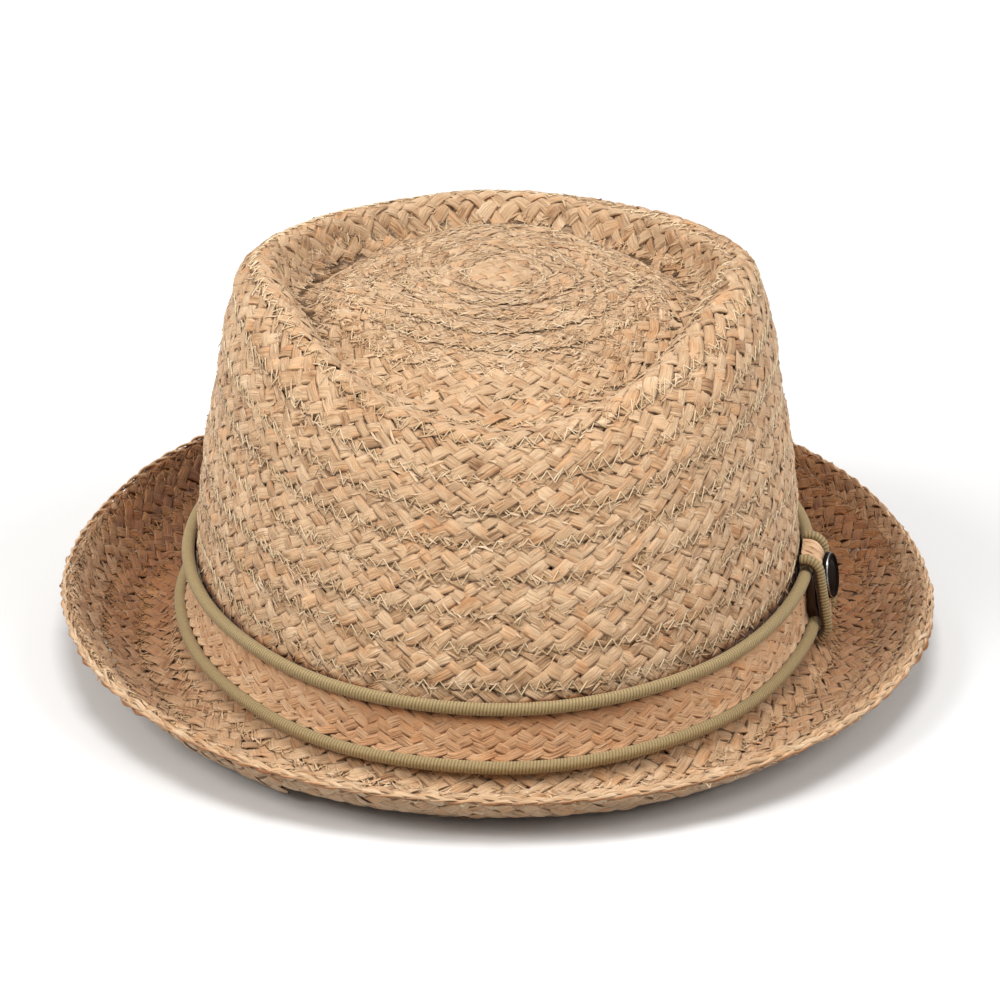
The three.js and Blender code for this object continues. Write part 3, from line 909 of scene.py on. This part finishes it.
def braid_centre():
    """The small plaited knot that the spiral starts from."""
    rng_centre = np.random.default_rng(61)
    reach = CENTRE_STRANDS * CENTRE_PITCH / 2
    share, thick = RING_TOP.T
    tubes = Tubes(len(RING_TOP))
    for side, heading in ((1, CENTRE_HEADING), (-1, CENTRE_HEADING + math.pi / 2)):
        ahead = np.array([math.cos(heading), math.sin(heading)])
        beside = np.array([math.sin(heading), -math.cos(heading)])
        for k in range(CENTRE_STRANDS):
            middle = (k - (CENTRE_STRANDS - 1) / 2) * CENTRE_PITCH
            half = math.sqrt(reach * reach - middle * middle) + 1.2
            run = np.linspace(-half, half, 25)
            wave = side * np.cos(math.pi * (run / CENTRE_PITCH + k))
            wave = np.sign(wave) * np.abs(wave) ** WEAVE_FLATNESS
            across = middle + share[None, :] * 0.52 * CENTRE_PITCH
            across = across + 0.25 * np.sin(run * 0.7 + 2 * k)[:, None]
            flat = run[:, None, None] * ahead + across[:, :, None] * beside
            x, y = flat.reshape(-1, 2).T
            angle = np.arctan2(y, x)
            row = np.hypot(x, y) / TIP_ROW_WIDTH
            height = CENTRE_LEVEL + CENTRE_RISE * wave[:, None] + thick * STRAND_THICKNESS
            height = height.ravel() - CENTRE_DOME * (row * TIP_ROW_WIDTH / reach) ** 2
            out = skin_frame(angle, row)[2]
            places = settled(skin(angle, row) + height[:, None] * out)
            # painted shade along the strand's edges
            tint = rng_centre.uniform(0.4, 0.62) - FLANK_PAINTED_SHADE * (np.abs(share) > FLANK_FROM)
            fibre = fibre_map(run[:, None] * FIBRE_STRETCH, across, 9.0 * k)
            tubes.add(places.reshape(*across.shape, 3), tint, fibre)
    tubes.piece("braid_centre", STRAW, "straw")


def backing(name, rows, off, sides, shade, cell):
    """A lowest layer of straw, seen only through the gaps of the braid above it."""
    turn = -np.arange(sides) / sides * 2 * math.pi
    row, angle = np.meshgrid(rows, turn, indexing="ij")
    out = skin_frame(angle.ravel(), row.ravel())[2]
    points = settled(skin(angle.ravel(), row.ravel()) + np.repeat(off, sides)[:, None] * out)
    across = TIP_ROW_WIDTH * row * np.cos(angle)
    along = TIP_ROW_WIDTH * row * np.sin(angle)
    tubes = Tubes(sides)
    tubes.add(points.reshape(*row.shape, 3), 0.5, fibre_map(along, across, 3.7), shade)
    tubes.piece(name, STRAW, "straw", cell=cell)


def backings():
    """The layers behind the middle of the tip and behind the deepest row of its dent."""
    rows = np.array([0.03, 0.2, 0.4, 0.6, 0.8, 1.0])
    # Painted shade: the centre backing is darkened to 0.7.
    backing("centre_backing", rows, -1.2 + 0.45 * np.cos(rows * 1.9), 20, 0.7, (1.6, 30.0))
    rows = np.linspace(*DENT_ROWS, 9)
    off = np.full(len(rows), DENT_BACKING_OFF)
    backing("dent_backing", rows, off, 160, 1.0, (1.6, 300.0))


# Places on the wall near the crown's foot.
WALL_ANGLES = 361
WALL_ROW_STEP = 0.04
FOOT_SIDE = BASE_X


def wall_table():
    """Distance up the wall from the break, for every angle and row near it."""
    angles = np.linspace(0, 2 * math.pi, WALL_ANGLES)
    rows = np.arange(14.6, 20.0, WALL_ROW_STEP)
    angle, row = np.meshgrid(angles, rows, indexing="ij")
    points = skin(angle.ravel(), row.ravel()).reshape(WALL_ANGLES, len(rows), 3)
    steps = np.linalg.norm(np.diff(points, axis=1), axis=2)
    along = np.concatenate([np.zeros((WALL_ANGLES, 1)), np.cumsum(steps, axis=1)], axis=1)
    at_break = np.array([np.interp(BREAK_ROW, rows, line) for line in along])
    return rows, at_break[:, None] - along


WALL_ROWS, WALL_UP = wall_table()
UP_STEP = 0.25
UP_GRID = np.arange(-11.0, 27.0, UP_STEP)
ROW_GRID = np.array([np.interp(UP_GRID, line[::-1], WALL_ROWS[::-1]) for line in WALL_UP])


def in_table(table, angle, place):
    """Value at a place along the table's line for an angle, between its entries."""
    x = (angle % (2 * math.pi)) / (2 * math.pi) * (WALL_ANGLES - 1)
    i = np.clip(x.astype(int), 0, WALL_ANGLES - 2)
    y = np.clip(place, 0, table.shape[1] - 1.001)
    j = y.astype(int)
    low = table[i, j] + (table[i, j + 1] - table[i, j]) * (y - j)
    high = table[i + 1, j] + (table[i + 1, j + 1] - table[i + 1, j]) * (y - j)
    return low + (high - low) * (x - i)


def wall_distance(angle, row):
    """Distance up the wall from the break, for arrays of angle and row."""
    return in_table(WALL_UP, angle, (row - WALL_ROWS[0]) / WALL_ROW_STEP)


def on_wall(angle, distance, off):
    """Points a distance up the wall from the break and off it, with their skin_frame."""
    shape, (angle, distance, off) = flattened(angle, distance, off)
    row = in_table(ROW_GRID, angle, (distance - UP_GRID[0]) / UP_STEP)
    up, around, out = skin_frame(angle, row)
    points = skin(angle, row) + off[:, None] * out
    return [a.reshape(*shape, 3) for a in (points, up, around, out)]


PIPING_RADIUS = PIPING_DIAMETER / 2
PIPING_OFF = PIPING_RADIUS + SEAT_GAP
LOWER_CORD_AT = -BAND_DROP
STRAP_FOOT = LOWER_CORD_AT + PIPING_RADIUS + SEAT_GAP
STRAP_TOP = STRAP_FOOT + STRAP_HEIGHT
UPPER_CORD_AT = STRAP_TOP + SEAT_GAP + PIPING_RADIUS
STRAP_MIDDLE = (STRAP_FOOT + STRAP_TOP) / 2

straw_braid()
edge_rope()
braid_centre()
backings()


RING_SAMPLES = 1440


def ring_length(distance, off):
    """Angles evenly sampled round the wall, and the length run at each."""
    angle = np.linspace(0, 2 * math.pi, RING_SAMPLES + 1)
    return angle, run_along(on_wall(angle, distance, off)[0])


# Ribbed cords.
RIB_PITCH = 0.85
KEEPER_RIB_PITCH = 0.85
RIB_DEPTH = 0.17
KEEPER_RIB_DEPTH = 0.22
KEEPER_CORD_RADIUS = 1.6
RIB_SLANT = 0.16
LOOP_SHADOW = 0.06
RIB_PROFILE = ((0.00, 1.0), (0.36, 0.55), (0.55, 0.0), (0.74, 0.55))
CORD_SIDES = 12


def ribbed_cord(name, node, line, rib_pitch, slant, depth, radius, capped=False, inner_shade=1.0):
    """A ribbed cord along a function of length that gives middle, out and up."""
    length, place = line
    ribs = max(4, round(length / rib_pitch))
    pitch = length / ribs
    at = np.array([(i + share) * pitch for i in range(ribs) for share, _ in RIB_PROFILE])
    full = np.array([h for _ in range(ribs) for _, h in RIB_PROFILE])
    at = np.append(at, length)
    full = np.append(full, full[0])
    middle, out, up, shade = place(at)
    along = unit(np.gradient(middle, axis=0))
    turn = np.arange(CORD_SIDES) / CORD_SIDES * 2 * math.pi
    radius = radius - depth * (1 - full)
    if capped:
        radius[[0, -1]] = 0.02
    offset = spokes(CORD_SIDES, out, up + slant * along)
    rings = middle[:, None, :] + radius[:, None, None] * offset
    fibre = fibre_map(at[:, None], turn * PIPING_RADIUS, 0.0)
    # Painted shade on the cord's inner side, times the painted shade given along it.
    shade = shade[:, None] * np.where(np.cos(turn) < -0.4, inner_shade, 1.0)
    tubes = Tubes(CORD_SIDES)
    # Painted shade: the tint is lower in the grooves between the ribs.
    tubes.add(settled(rings), (0.22 + 0.50 * full)[:, None], fibre, shade)
    piece = tubes.piece(name, CORD, "cord", cell=(0.2, 11.0))
    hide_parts(node)


def loop_shadow(angle):
    """Shade of what runs along the band: nearly black where the keeper loop covers it."""
    ahead = -FOOT_SIDE * np.sin(angle)
    beside = np.abs(ahead - KEEPER_SETBACK) - KEEPER_WIDTH / 2
    lit = fade(beside, -5.5, -2.5)
    lit = np.where(np.cos(angle) > 0, lit, 1.0)
    return LOOP_SHADOW + (1 - LOOP_SHADOW) * lit * lit * (3 - 2 * lit)


def band_line(distance, wave):
    angle, run = ring_length(distance, PIPING_OFF)

    def place(at):
        a = np.interp(at, run, angle)
        up_by = distance + wave * (np.sin(5 * a + 0.6) + np.sin(11 * a + 2.0))
        middle, up, _, out = on_wall(a, up_by, PIPING_OFF)
        return middle, out, up, loop_shadow(a)

    return run[-1], place


for cord, node, distance, wave in (
    ("cord_lower", "band_piping_lower", LOWER_CORD_AT, 0.16),
    ("cord_upper", "band_piping_upper", UPPER_CORD_AT, 0.10),
):
    line = band_line(distance, wave)
    ribbed_cord(cord, node, line, RIB_PITCH, RIB_SLANT, RIB_DEPTH, PIPING_RADIUS)


# The strap.
STRAP_STRANDS = 7
STRAP_UNIT = 3.05
STRAP_REACH = 4.95
STRAP_STRAND_WIDTH = 2.95
STRAP_RISE = 0.12
STRAP_STRAND_THICKNESS = 0.36
STRAP_OFF = 0.85
STRAP_SWELL = 0.45
STRAP_MARGIN = (4.4, 6.0)
STRAP_TUCK = 0.5
STRAP_LAP = 0.35
STRAP_CORD_SHADE = 0.22
STRAP_FRONT_SHADE = 0.22


def strap_braid():
    mid_angle, run = ring_length(STRAP_MIDDLE, SEAT_GAP)
    length = run[-1]
    periods = round(length / (2 * STRAP_STRANDS * STRAP_UNIT))
    unit_length = length / periods / (2 * STRAP_STRANDS)
    plait = Braid(
        length, STRAP_STRANDS, unit_length, STRAP_REACH, STRAP_STRAND_WIDTH, STRAP_RISE,
        STRAP_STRAND_THICKNESS, np.random.default_rng(23), rough=0.55,
    )
    tubes = Tubes(len(RING_TOP))
    for k in range(STRAP_STRANDS):
        s, v, h, tint, fibre = plait.strand(k, 0.0, length, 1.0, RING_TOP)
        angle = np.interp(s % length, run, mid_angle)
        v = v * 1.04 + 0.05
        swell = STRAP_SWELL * (1 - (v / 6.5) ** 2)
        tuck = STRAP_TUCK * fade(-v, *STRAP_MARGIN)
        lap = STRAP_LAP * fade(v, *STRAP_MARGIN)
        off = SEAT_GAP + STRAP_OFF + swell - tuck + lap + h
        places = on_wall(angle, STRAP_MIDDLE - v, off)[0]
        # Painted shade: the strap is darker under the upper cord's shadow and across its front.
        under_cord = 1 - STRAP_CORD_SHADE * fade(-v, 3.4, 5.0)
        at_front = 1 - STRAP_FRONT_SHADE * fade(-np.sin(angle), 0.75, 1.0)
        tubes.add(settled(places), tint, fibre, loop_shadow(angle) * under_cord * at_front)
    piece = tubes.piece("strap_braid", STRAP, "strap")
    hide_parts("hat_band")


strap_braid()


# The keeper loop.
KEEPER_TOP_TURN = math.radians(85)
KEEPER_FOOT_TURN = math.radians(70)
KEEPER_TUCK = PIPING_OFF - 2 * SEAT_GAP
KEEPER_BEND_IN = PIPING_RADIUS + SEAT_GAP
KEEPER_BEND_OUT = KEEPER_BEND_IN + STRAP_THICKNESS


def angle_ahead(distance):
    return -np.arcsin(distance / FOOT_SIDE)


def keeper_place(ahead, run, bend):
    """Points, outward and sideways directions of the loop at a run from its upper end."""
    shape, (ahead, run) = flattened(ahead, run)
    angle = angle_ahead(ahead)
    upper, _, around, wall_out = on_wall(angle, UPPER_CORD_AT, PIPING_OFF)
    lower = on_wall(angle, LOWER_CORD_AT, PIPING_OFF)[0]
    down = unit(lower - upper)
    out = unit(np.cross(down, around))
    gap = np.linalg.norm(lower - upper, axis=1)
    top_arc = bend * KEEPER_TOP_TURN
    into_arc = run - KEEPER_TUCK
    into_straight = into_arc - top_arc
    into_foot = into_straight - gap
    tuck = np.clip(KEEPER_TUCK - run, 0, KEEPER_TUCK)
    turn = KEEPER_TOP_TURN - np.clip(into_arc, 0, top_arc) / bend
    turn = turn - np.clip(into_foot, 0, None) / bend
    normal = np.cos(turn)[:, None] * out - np.sin(turn)[:, None] * down
    middle = upper + np.clip(into_straight, 0, gap)[:, None] * down
    points = middle + bend * normal - tuck[:, None] * wall_out
    return [a.reshape(*shape, 3) for a in (points, normal, around)]


def cord_middles(ahead):
    """Middles of the band's upper and lower cord a distance ahead of the crown's side."""
    angle = angle_ahead(ahead)
    return [on_wall(angle, at, PIPING_OFF)[0] for at in (UPPER_CORD_AT, LOWER_CORD_AT)]


def keeper_run(ahead, bend):
    upper, lower = cord_middles(ahead)
    gap = float(np.linalg.norm(lower - upper))
    return KEEPER_TUCK + bend * (KEEPER_TOP_TURN + KEEPER_FOOT_TURN) + gap


def keeper_cord(name, node, ahead):
    bend = KEEPER_BEND_IN + PIPING_RADIUS
    length = keeper_run(ahead, bend)

    def place(at):
        return *keeper_place(ahead, at, bend), np.ones(len(at))

    line = (length, place)
    ribbed_cord(
        name, node, line, KEEPER_RIB_PITCH, 0.0, KEEPER_RIB_DEPTH, KEEPER_CORD_RADIUS,
        capped=True, inner_shade=0.1,
    )


CORD_INSET = KEEPER_WIDTH / 2 - PIPING_RADIUS
keeper_cord("keeper_cord_front", "keeper_piping_front", KEEPER_SETBACK + CORD_INSET)
keeper_cord("keeper_cord_rear", "keeper_piping_rear", KEEPER_SETBACK - CORD_INSET)


KEEPER_SWELL = 1.55


def keeper_braid():
    bend = KEEPER_BEND_IN + KEEPER_SWELL
    length = keeper_run(KEEPER_SETBACK, bend)
    plait = Braid(length, 7, 3.0, 5.0, 2.9, 0.12, 0.38, np.random.default_rng(31), 0.5)
    tubes = Tubes(len(RING_BOTH))
    for k in range(7):
        s, v, h, tint, fibre = plait.strand(k, 0.0, length, 0.8, RING_BOTH)
        points, normal, _ = keeper_place(KEEPER_SETBACK + v, s, bend)
        swell = 0.5 * (1 - (v / 6.0) ** 2)
        points = points + (h + swell)[:, :, None] * normal
        # Painted shade: the loop's inner face is nearly black.
        shade = np.where(RING_BOTH[:, 1] < RING_UNDERSIDE, 0.1, 1.0)
        tubes.add(settled(points), tint, fibre, shade)
    piece = tubes.piece("keeper_braid", STRAP, "strap")
    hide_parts("keeper_strap")


keeper_braid()

SHADOW_BLOCK_AHEAD = (9.0, 24.0)
SHADOW_BLOCK_OFF = (2.0, 4.3)


def keeper_shadow_block():
    """A block painted nearly black inside the loop: painted shadow in the loop's opening."""
    share = np.array([0.0, 0.0, 0.3, 0.5, 0.7, 1.0, 1.0])
    size = np.array([0.0, 1.0, 1.0, 1.0, 1.0, 1.0, 0.0])
    distance = UPPER_CORD_AT - 1.4 + share * (LOWER_CORD_AT - UPPER_CORD_AT + 2.8)
    ahead = np.array([SHADOW_BLOCK_AHEAD[1], SHADOW_BLOCK_AHEAD[1], SHADOW_BLOCK_AHEAD[0], SHADOW_BLOCK_AHEAD[0]])
    off = np.array([SHADOW_BLOCK_OFF[0], SHADOW_BLOCK_OFF[1], SHADOW_BLOCK_OFF[1], SHADOW_BLOCK_OFF[0]])
    ahead = ahead.mean() + size[:, None] * (ahead - ahead.mean())
    off = off.mean() + size[:, None] * (off - off.mean())
    places = on_wall(angle_ahead(ahead), distance[:, None], off)[0]
    tubes = Tubes(4)
    tubes.add(settled(places), 0.4, fibre_map(distance[:, None], ahead, off), LOOP_SHADOW)
    tubes.piece("keeper_shadow_block", STRAP, "strap")


keeper_shadow_block()

RIVET_STAND_OFF = 0.5
RIVET_RUN = 12.0
RIVET_LIFT = 2.7
RIVET_YAW = math.radians(9)
RIVET_FACETS = 72


def rivet_profile():
    """Radius, height and brightness along the rivet's turned outline."""
    radius = RIVET_DIAMETER / 2
    face = RIVET_THICKNESS - RIVET_RECESS
    rim = radius - RIVET_RIM
    return (
        (0.01, -1.2, 0.2),
        (2.2, -1.2, 0.2),
        (2.2, 0.0, 0.2),
        (radius - 0.25, 0.0, 0.2),
        (radius - 0.05, 0.12, 0.3),
        (radius, 0.45, 0.12),
        (radius, RIVET_THICKNESS - 0.75, 0.22),
        (radius - 0.08, RIVET_THICKNESS - 0.35, 0.95),
        (radius - 0.26, RIVET_THICKNESS - 0.06, 0.35),
        (radius - 0.46, RIVET_THICKNESS, 0.08),
        (rim + 0.22, RIVET_THICKNESS - 0.10, 0.04),
        (rim - 0.02, face + 0.06, 0.02),
        (rim - 0.25, face, 0.06),
        (rim - 0.62, face + 0.02, 0.14),
        (rim - 0.74, face - 0.10, 0.0),
        (rim - 0.90, face - 0.10, 0.0),
        (rim - 1.02, face + 0.04, 0.20),
        (2.6, face + 0.12, 0.05),
        (1.2, face + 0.17, 0.10),
        (0.01, face + 0.18, 0.10),
    )


def rivet_head():
    """The rivet's turned head, seated on the loop."""
    upper, lower = cord_middles(KEEPER_SETBACK)
    angle = angle_ahead(np.array([KEEPER_SETBACK]))
    wide = skin_frame(angle, np.array([BREAK_ROW]))[1][0]
    keeper_out = keeper_place(KEEPER_SETBACK, KEEPER_TUCK + RIVET_RUN, KEEPER_BEND_OUT)[1]
    axis = unit(np.cross(lower - upper, wide))
    seat = (upper + lower) / 2 + KEEPER_BEND_OUT * keeper_out
    seat = seat + axis * (SEAT_GAP + BULGE_ALLOWANCE + RIVET_STAND_OFF)
    axis = axis * math.cos(RIVET_YAW) - wide * math.sin(RIVET_YAW)
    side = unit(np.cross(axis, (0.0, 0.0, 1.0)))
    rise = np.cross(side, axis)
    seat = seat + RIVET_LIFT * rise
    spoke = spokes(RIVET_FACETS, side, rise)
    profile = rivet_profile()
    rings = np.array([seat + r * spoke + z * axis for r, z, _ in profile])
    tubes = Tubes(RIVET_FACETS)
    tubes.add(settled(rings), np.array([[bright] for _, _, bright in profile]))
    piece = tubes.piece("rivet_head", GUNMETAL, "gunmetal", cell=(0.5, 38.0))
    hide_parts("rivet")


rivet_head()


# Sewing thread and loose fibres.
STITCH_PITCH = 1.87
STITCH_TOP = 2.25
STITCH_FOOT = 0.45
STITCH_SINK = 0.30
STITCH_BOW = 0.42
THREAD_RADIUS = 0.2


def spiral_frames(s, v, h):
    """Middle points in metres and outward directions."""
    at = on_spiral(s, v, h)
    return at, unit(on_spiral(s, v, h + 0.5) - at)


def add_threads(tubes, middle, out, radius, tint, shade):
    """Tubes along rows of middle points, shape (count, m, 3)."""
    along = unit(np.gradient(middle, axis=1))
    side = unit(np.cross(out, along))
    rings = middle[:, :, None] + radius * MM * spokes(tubes.ring_points, out, side)
    for row in range(len(middle)):
        tubes.add(rings[row], tint[row], shades=shade[row])


SINK_WANDER = wander(np.random.default_rng(37), SPIRAL_LENGTH + 40, 14.0, 0.20)


def stitches():
    rng_thread = np.random.default_rng(41)
    count = int(SPIRAL_LENGTH / STITCH_PITCH) - 4
    knots = np.arange(count + 1)
    s = (knots + 1) * STITCH_PITCH + rng_thread.normal(0, 0.26, count + 1)
    is_foot = knots % 2 == 0
    v = BRAID_HALF + np.where(is_foot, STITCH_FOOT, -STITCH_TOP)
    v = v + rng_thread.normal(0, 0.34, count + 1)
    turn = np.interp(s, TURN_AT, TURNS)
    on_wall_share = fade(turn, 7.4, 8.6) * fade(turn, 18.2, 17.4)
    buried = (1 - on_wall_share) * STITCH_SINK + np.maximum(SINK_WANDER(s), -0.1)
    h = np.where(is_foot, -0.15, 0.42) - buried
    t = np.array([0.0, 0.35, 0.75, 1.0])
    s, v, h = (a[:-1, None] * (1 - t) + a[1:, None] * t for a in (s, v, h))
    h = h + STITCH_BOW * np.sin(math.pi * t)
    tint = np.clip(rng_thread.uniform(0.0, 0.9, count) - 0.5 * buried[:-1], 0, 1)
    shade = spiral_shade(s[:, 0])
    middle, out = spiral_frames(s, v, h)
    half = count // 2
    for name, part in (("thread_crown", slice(0, half)), ("thread_brim", slice(half, count))):
        tubes = Tubes(3)
        add_threads(tubes, middle[part], out[part], THREAD_RADIUS, tint[part], shade[part])
        tubes.piece(name, THREAD, "straw", cell=(0.7, 0.9))


stitches()

SEAM_FIBRES = 12000
TIP_FIBRES = 8000
SPARE_FIBRES = 3800
STRAND_LEAN = math.radians(30)


def loose_fibres():
    """Split slivers of straw: most lie along the seams, and the tip is matted with them."""
    rng_fibre = np.random.default_rng(53)
    total = SEAM_FIBRES + TIP_FIBRES + SPARE_FIBRES
    number = np.arange(total)
    near_seam = number < SEAM_FIBRES
    on_tip = (number >= SEAM_FIBRES) & (number < SEAM_FIBRES + TIP_FIBRES)
    tip_end = np.interp(6.6, TURNS, TURN_AT)
    s = rng_fibre.uniform(8, SPIRAL_LENGTH - 12, total)
    s = np.where(on_tip, rng_fibre.uniform(6, tip_end, total), s)
    v = np.where(
        near_seam,
        BRAID_HALF + rng_fibre.normal(-0.4, 1.0, total),
        BRAID_HALF - rng_fibre.uniform(0, 9, total),
    )
    lean = np.where(rng_fibre.uniform(size=total) < 0.5, STRAND_LEAN, -STRAND_LEAN)
    turn = lean + rng_fibre.normal(0, 0.2, total)
    loose = rng_fibre.uniform(size=total) < 0.3
    turn = np.where(loose, rng_fibre.normal(0, 0.8, total), turn)
    turn = turn + np.where(rng_fibre.uniform(size=total) < 0.5, 0, math.pi)
    length = rng_fibre.uniform(1.6, 4.4, total) * np.where(on_tip, 0.6, 1.0)
    lift = rng_fibre.uniform(0.0, 0.8, total) ** 2 * np.where(on_tip, 0.5, 1.0)
    width = np.where(loose, rng_fibre.uniform(0.12, 0.3, total), rng_fibre.uniform(0.3, 0.7, total))
    bend = rng_fibre.normal(0, 0.25, total)
    tint = rng_fibre.uniform(0.2, 0.95, total)
    t = np.array([0.0, 0.5, 1.0])
    facing = turn[:, None] + bend[:, None] * t
    path_s = s[:, None] + length[:, None] * t * np.cos(facing)
    path_v = v[:, None] + length[:, None] * t * np.sin(facing)
    path_h = 0.36 + lift[:, None] * t * t + rng_fibre.uniform(-0.1, 0.25, total)[:, None]
    path_h = path_h - 0.35 * fade(path_v, BRAID_HALF, BRAID_HALF + 1)
    on_edge = s[:, None] > np.interp(21.85, TURNS, TURN_AT)
    path_v = np.where(on_edge, np.minimum(path_v, BRAID_HALF + 0.4), path_v)
    middle, out = spiral_frames(path_s, path_v, path_h)
    side = unit(np.cross(out, np.gradient(middle, axis=1)))
    half = (width[:, None] * MM / 2 * np.array([0.8, 1.0, 0.3]))[:, :, None] * side
    rings = np.stack([middle + half, middle - half], axis=2)
    shade = spiral_shade(s)
    across = width[:, None, None] * np.array([0.0, 1.0])
    fibre = fibre_map((length[:, None] * t + s[:, None])[:, :, None], across, 0.0)
    tubes = Tubes(2, closed=False)
    for row in range(total):
        tubes.add(rings[row], tint[row], fibre[row], shade[row])
    tubes.piece("loose_fibres", STRAW, "straw", cell=(1.5, 0.4))


loose_fibres()
